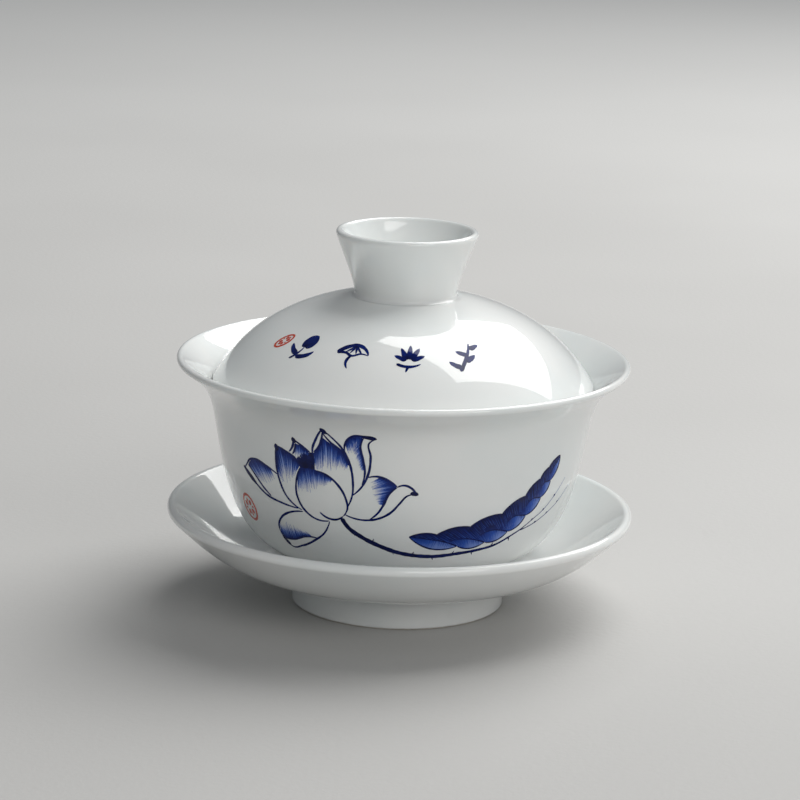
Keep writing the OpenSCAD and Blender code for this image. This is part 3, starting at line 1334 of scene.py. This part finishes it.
@dataclass(frozen=True)
class Leaf:
    """The curled leaf beside the flower: a row of lobes, dark on the back and lighter where they turn."""

    upper: Line = (
        (2.4, -3.6),
        (9, -3),
        (17, -1.4),
        (25, 1),
        (31, 4.6),
        (35, 8.2),
        (37.4, 10.6),
        (41, 12.8),
    )
    lower: Line = (
        (2.4, -3.6),
        (14.5, -6.6),
        (21.8, -6.2),
        (28, -4.1),
        (32.6, -0.6),
        (36.6, 3.2),
        (39, 7),
        (41, 12.8),
    )
    bulge_up: float = 0.09
    bulge_down: float = 0.16
    vein_width: float = 0.42
    vein_depth: float = 0.58
    brow_shares: Pair = (0.55, 0.38)
    edge_width: float = 0.44
    seam_width: float = 0.18
    back_ink: float = 1.0
    front_ink: float = 0.97
    dark: float = 1.0
    middle: float = 0.64
    light: float = 0.36
    back_reach: float = 1.6
    lobe_rise: float = 1.5
    lobe_back_share: float = 0.6
    light_streaks: Streaks = Streaks(density=2.4, width=0.14, strength=0.8)
    dark_streaks: Streaks = Streaks(density=2.0, width=0.24, strength=1.0)

    def paint(self, painter: Painter) -> None:
        """Paints the leaf's lobes, then the streaks, the veins and the dark edge.

        Args:
            painter: The painter of the bowl's wall.
        """
        body = painter.film(painter.wash_lift, seed=21)
        lobes = painter.film(painter.hatch_lift, seed=24)
        streaks = painter.film((painter.hatch_lift + painter.line_lift) / 2, seed=23)
        veins = painter.film(painter.line_lift, seed=22)
        back_ink, front_ink = (self.back_ink, self.back_ink), (self.front_ink, self.front_ink)
        for number in range(len(self.upper) - 1):
            back = self._bowed(self.upper[number], self.upper[number + 1], self.bulge_up)
            front = self._bowed(self.lower[number], self.lower[number + 1], -self.bulge_down)
            vein = self._vein(number)
            body.wash(back, front, self._body_strength, rows=12)
            lobes.wash(vein, front, self._lobe_strength, rows=10)
            veins.stroke(Stroke(back, self.edge_width, Taper.LEAF, back_ink))
            veins.stroke(Stroke(front, self.edge_width, Taper.LEAF, front_ink))
            veins.stroke(Stroke(vein, self.vein_width, Taper.SWELL, front_ink))
            streaks.hatch(vein, front, *self.light_streaks)
            streaks.hatch(back, vein, *self.dark_streaks)
        for top, notch in zip(self.upper[1:-1], self.lower[1:-1]):
            streaks.stroke(Stroke((top, notch), self.seam_width, Taper.EVEN, (self.dark, self.middle)))
        painter.lay(body, "leaf_body")
        painter.lay(lobes, "leaf_lobes")
        painter.lay(streaks, "leaf_streaks")
        painter.lay(veins, "leaf_veins")

    @staticmethod
    def _bowed(start: Point, end: Point, bulge: float) -> Line:
        """A line that bows out between two points.

        Args:
            start: The first point.
            end: The last point.
            bulge: How far it bows to the left of the way, as a share of the distance.

        Returns:
            The line's points.
        """
        across, up = end[0] - start[0], end[1] - start[1]
        steps = 4
        bows = [(step / steps, step * (steps - step) / steps * bulge) for step in range(steps + 1)]
        return tuple(
            (start[0] + across * t - up * bow, start[1] + up * t + across * bow) for t, bow in bows
        )

    def _vein(self, number: int) -> Line:
        """The vein over one lobe: out of the dark back, along the leaf, and down to the far notch.

        Args:
            number: The lobe's number, from the flower outwards.

        Returns:
            The vein's points.
        """
        start = mix(self.upper[number], self.lower[number], self.vein_depth)
        notch = self.lower[number + 1]
        crest = mix(start, mix(self.upper[number + 1], notch, self.vein_depth), 0.5)
        brow = tuple(mix(crest, notch, share)[axis] for axis, share in enumerate(self.brow_shares))
        return (start, crest, brow, notch)

    def _body_strength(self, along: float, across: float) -> float:
        """The leaf's own strength: nearly black at the back, and clearer towards the front edge."""
        return self.dark - (self.dark - self.middle) * across**self.back_reach

    def _lobe_strength(self, along: float, across: float) -> float:
        """A lobe's strength: the body's own where it starts, and light at its far end and front edge.

        Args:
            along: The share of the way along the leaf.
            across: The share of the way from the vein to the front edge.

        Returns:
            The strength.
        """
        start = self._body_strength(along, self.vein_depth + (1 - self.vein_depth) * across)
        turned = min(1.0, along * self.lobe_rise)
        lightness = self.lobe_back_share + (1 - self.lobe_back_share) * across
        return start - (start - self.light) * turned * turned * (3 - 2 * turned) * lightness


@dataclass(frozen=True)
class Seal:
    """A small red oval stamp with a four-petalled flower in it."""

    centre: Point
    size: Pair
    lean: float
    ring_width: float = 0.66
    ring_steps: int = 16
    petals: int = 4
    dab_width: float = 1.1
    dab_shares: tuple[float, ...] = (0.2, 0.5, 0.74)
    bar_shares: tuple[float, ...] = (0.42, 0.72)
    ink: Pair = (1.0, 1.0)

    def _at(self, angle: float, share: float) -> Point:
        """A place on the stamp.

        Args:
            angle: The angle round the oval, in radians.
            share: The share of the way from the centre to the ring.

        Returns:
            The place on the sheet.
        """
        across = 0.5 * self.size[0] * share * math.cos(angle)
        up = 0.5 * self.size[1] * share * math.sin(angle)
        turned = math.radians(self.lean)
        return (
            self.centre[0] + across * math.cos(turned) - up * math.sin(turned),
            self.centre[1] + across * math.sin(turned) + up * math.cos(turned),
        )

    def paint(self, painter: Painter, name: str) -> None:
        """Stamps the seal.

        Args:
            painter: The painter of the wall that it is on.
            name: The piece's name.
        """
        film = painter.film(painter.line_lift, seed=31)
        ring = [self._at(FULL_TURN * step / self.ring_steps, 1.0) for step in range(self.ring_steps)]
        film.stroke(Stroke(ring, self.ring_width, Taper.EVEN, self.ink, looped=True))
        for petal in range(self.petals):
            middle, edge = (FULL_TURN * (petal + half) / self.petals for half in (0.5, 0.0))
            dab = [self._at(middle, share) for share in self.dab_shares]
            film.stroke(Stroke(dab, self.dab_width, Taper.LEAF, self.ink))
            bar = [self._at(edge, share) for share in self.bar_shares]
            film.stroke(Stroke(bar, self.ring_width, Taper.EVEN, self.ink))
        painter.lay(film, name, "iron_red")


class Motif(Enum):
    """The four small plants brushed on the lid, drawn in a box from -1 to 1 each way."""

    BUD = "a closed bud between two leaves"
    PAD = "a round leaf on the water"
    BLOSSOM = "an open flower"
    SPRIG = "a sprig of narrow leaves"

    def strokes(self) -> tuple[tuple[Line, float], ...]:
        """The motif's strokes.

        Returns:
            A path and a share of the full width each.
        """
        match self:
            case Motif.BUD:
                return (
                    (((-0.3, -1.0), (0.0, -0.5), (0.05, 0.0)), 0.5),
                    (((0.02, -0.05), (-0.2, 0.4), (0.12, 1.0)), 1.15),
                    (((0.08, -0.05), (0.14, 0.45), (0.14, 0.98)), 1.2),
                    (((0.12, -0.05), (0.46, 0.35), (0.16, 1.0)), 1.15),
                    (((-0.05, -0.6), (-0.5, -0.4), (-1.0, 0.05)), 1.1),
                    (((0.0, -0.75), (0.5, -0.66), (0.95, -0.2)), 1.1),
                )
            case Motif.PAD:
                back = (((-1.0, 0.02), (-0.55, 0.55), (0.0, 0.74), (0.55, 0.55), (1.0, 0.02)), 1.05)
                front = (((-1.0, 0.0), (-0.5, 0.1), (0.0, -0.1), (0.5, 0.1), (1.0, 0.0)), 0.6)
                veins = tuple((((0.0, 0.66), (reach, 0.06)), 0.5) for reach in (-0.58, -0.2, 0.2, 0.58))
                stalk = (((0.0, -0.06), (-0.14, -0.55), (0.12, -1.0)), 0.6)
                return (back, front, *veins, stalk)
            case Motif.BLOSSOM:
                petals = tuple((self._petal(math.radians(14 + 38 * step)), 1.15) for step in range(5))
                sepal = (((-0.7, -0.42), (0.0, -0.62), (0.7, -0.42)), 0.7)
                stalk = (((0.0, -0.6), (-0.1, -1.0)), 0.5)
                return (*petals, sepal, stalk)
            case _:
                stalk = (((-0.5, -1.0), (-0.1, -0.3), (0.3, 0.4), (0.55, 1.0)), 0.75)
                leaves = tuple((self._leaf(step, side), 1.2) for step, side in enumerate((-1, 1, -1, 1)))
                return (stalk, *leaves)

    @staticmethod
    def _petal(angle: float) -> Line:
        """A petal of the blossom.

        Args:
            angle: The angle at which it points out, in radians.

        Returns:
            The petal's path.
        """
        out, up = math.cos(angle), math.sin(angle)
        root, belly, tip = (0.16, 0.1, -0.2), (0.62, 0.62, -0.12), (0.95, 1.08, -0.1)
        return tuple((wide * out, tall * up + level) for wide, tall, level in (root, belly, tip))

    @staticmethod
    def _leaf(step: int, side: int) -> Line:
        """A leaf of the sprig, some steps up the stalk on one side of it, -1 or 1."""
        x, y = 0.26 * step - 0.35, 0.42 * step
        return ((x, y - 0.75), (x + 0.34 * side, y - 0.6), (x + 0.74 * side, 0.36 * step - 0.28))


@dataclass(frozen=True)
class LidRow:
    """The row of small plants round the front of the lid."""

    first: float = -24.6
    pitch: float = 12.9
    half_size: Pair = (3.7, 4.1)
    lean: float = -0.12
    brush_width: float = 1.2
    ink: Pair = (0.98, 0.86)

    def paint(self, painter: Painter) -> None:
        """Paints the row.

        Args:
            painter: The painter of the lid.
        """
        for number, motif in enumerate(Motif):
            film = painter.film(painter.line_lift, seed=40 + number)
            middle = self.first + self.pitch * number
            wide, high = self.half_size
            for path, share in motif.strokes():
                placed = [(middle + wide * (x - self.lean * y), high * y) for x, y in path]
                film.stroke(Stroke(placed, self.brush_width * share, Taper.DAB, self.ink))
            painter.lay(film, f"lid_{motif.name.lower()}")


# ---------------------------------------------------------------------------------------------------
# The studio
# ---------------------------------------------------------------------------------------------------


def direction(azimuth: float, elevation: float) -> Vector:
    """The way out from the middle of the ware.

    Args:
        azimuth: The angle round the ware, in degrees: 0 is towards the viewer and 90 to the right.
        elevation: The angle above the table, in degrees.

    Returns:
        The way, of length 1.
    """
    turned, raised = math.radians(azimuth), math.radians(elevation)
    level = math.cos(raised)
    return Vector((math.sin(turned) * level, -math.cos(turned) * level, math.sin(raised)))


@dataclass(frozen=True)
class SoftLight:
    """A soft box that faces the ware."""

    name: str
    azimuth: float
    elevation: float
    distance: float
    size: Pair
    power: float
    tint: Colour = (1.0, 1.0, 1.0)

    def build(self, target: Vector) -> None:
        """Hangs the light.

        Args:
            target: The point that it faces.
        """
        lamp = bpy.data.lights.new(self.name, "AREA")
        lamp.shape = "RECTANGLE"
        lamp.size, lamp.size_y = self.size
        lamp.energy = self.power
        lamp.color = self.tint
        holder = bpy.data.objects.new(self.name, lamp)
        out = direction(self.azimuth, self.elevation)
        holder.location = target + out * self.distance
        holder.rotation_euler = out.to_track_quat("Z", "Y").to_euler()
        bpy.context.scene.collection.objects.link(holder)


@dataclass(frozen=True)
class Studio:
    """A pale table under soft light, and the camera."""

    table_size: float = 7.0
    camera_distance: float = 0.75
    camera_elevation: float = 13.6
    camera_roll: float = 1.64
    aim_share: float = 0.544
    aim_aside: float = -0.6 * MM
    focal_length: float = 144.7
    sight: Pair = (0.01, 20.0)
    sky: Colour = (0.92, 0.96, 1.0)
    sky_strength: float = 0.19
    lights: tuple[SoftLight, ...] = (
        SoftLight(
            name="key_box",
            azimuth=135,
            elevation=54,
            distance=1.10,
            size=(0.95, 1.05),
            power=14.5,
            tint=(1.0, 0.995, 0.98),
        ),
        SoftLight(
            name="front_box",
            azimuth=24,
            elevation=26,
            distance=1.40,
            size=(1.0, 0.6),
            power=7.0,
            tint=(1.0, 0.99, 0.97),
        ),
    )

    def build(self) -> None:
        """Sets up the table, the lights and the camera."""
        low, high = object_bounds()
        middle = Vector((self.aim_aside, 0.0, (low.z + high.z) * self.aim_share))
        self._table(low.z)
        for light in self.lights:
            light.build(middle)
        self._sky()
        self._camera(middle)

    def _table(self, level: float) -> None:
        """Lays the table.

        Args:
            level: The height of its top, in metres.
        """
        half = self.table_size / 2
        corners = [(x, y, level) for x, y in ((-half, -half), (half, -half), (half, half), (-half, half))]
        table = link_mesh("table", corners, [(0, 1, 2, 3)])
        table.data.materials.append(TablePaint().material())
        table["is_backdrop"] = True

    def _sky(self) -> None:
        """Fills the room with an even cool light."""
        world = bpy.data.worlds.new("room")
        world.use_nodes = True
        background = world.node_tree.nodes["Background"]
        background.inputs["Color"].default_value = (*self.sky, 1.0)
        background.inputs["Strength"].default_value = self.sky_strength
        bpy.context.scene.world = world
        bpy.context.scene.view_settings.view_transform = "Standard"

    def _camera(self, aim: Vector) -> None:
        """Stands the camera a little above the table.

        Args:
            aim: The point that it looks at.
        """
        data = bpy.data.cameras.new("camera")
        data.lens = self.focal_length
        data.clip_start, data.clip_end = self.sight
        camera = bpy.data.objects.new("camera", data)
        back = direction(0, self.camera_elevation)
        camera.location = aim + back * self.camera_distance
        level = back.to_track_quat("Z", "Y").to_matrix().to_4x4()
        roll = Matrix.Rotation(math.radians(self.camera_roll), 4, "Z")
        camera.rotation_euler = (level @ roll).to_euler()
        bpy.context.scene.collection.objects.link(camera)
        bpy.context.scene.camera = camera


def main() -> None:
    """Builds the ware, the painting and the studio, in that order."""
    logging.basicConfig(level=logging.INFO, format="%(name)s: %(message)s")
    Ware("saucer", "saucer", bare_height=0.25 * MM).build()
    bowl_outline = Ware("bowl", "bowl", bare_height=0.25 * MM).build()
    dome_outline = Ware("lid_dome", "lid", bare_height=0.15 * MM).build()
    Ware("lid_knob", "lid", bare_height=FULLY_GLAZED).build()
    colours = {"cobalt_blue": Cobalt().material(), "iron_red": IronRed().material()}
    wall = Painter(Sheet(bowl_outline, girth=42 * MM, level=30 * MM), "bowl", colours)
    Lotus().paint(wall)
    Leaf().paint(wall)
    Seal(centre=(-43, -2.9), size=(5.4, 6.4), lean=14).paint(wall, "wall_seal")
    crown = Painter(Sheet(dome_outline, girth=32.5 * MM, level=65.8 * MM), "lid", colours)
    LidRow().paint(crown)
    small_seal = Seal(centre=(-31.8, 0), size=(2.9, 5.0), lean=-30, ring_width=0.56, dab_width=0.8)
    small_seal.paint(crown, "lid_seal")
    Studio().build()


if __name__ == "__main__":
    main()
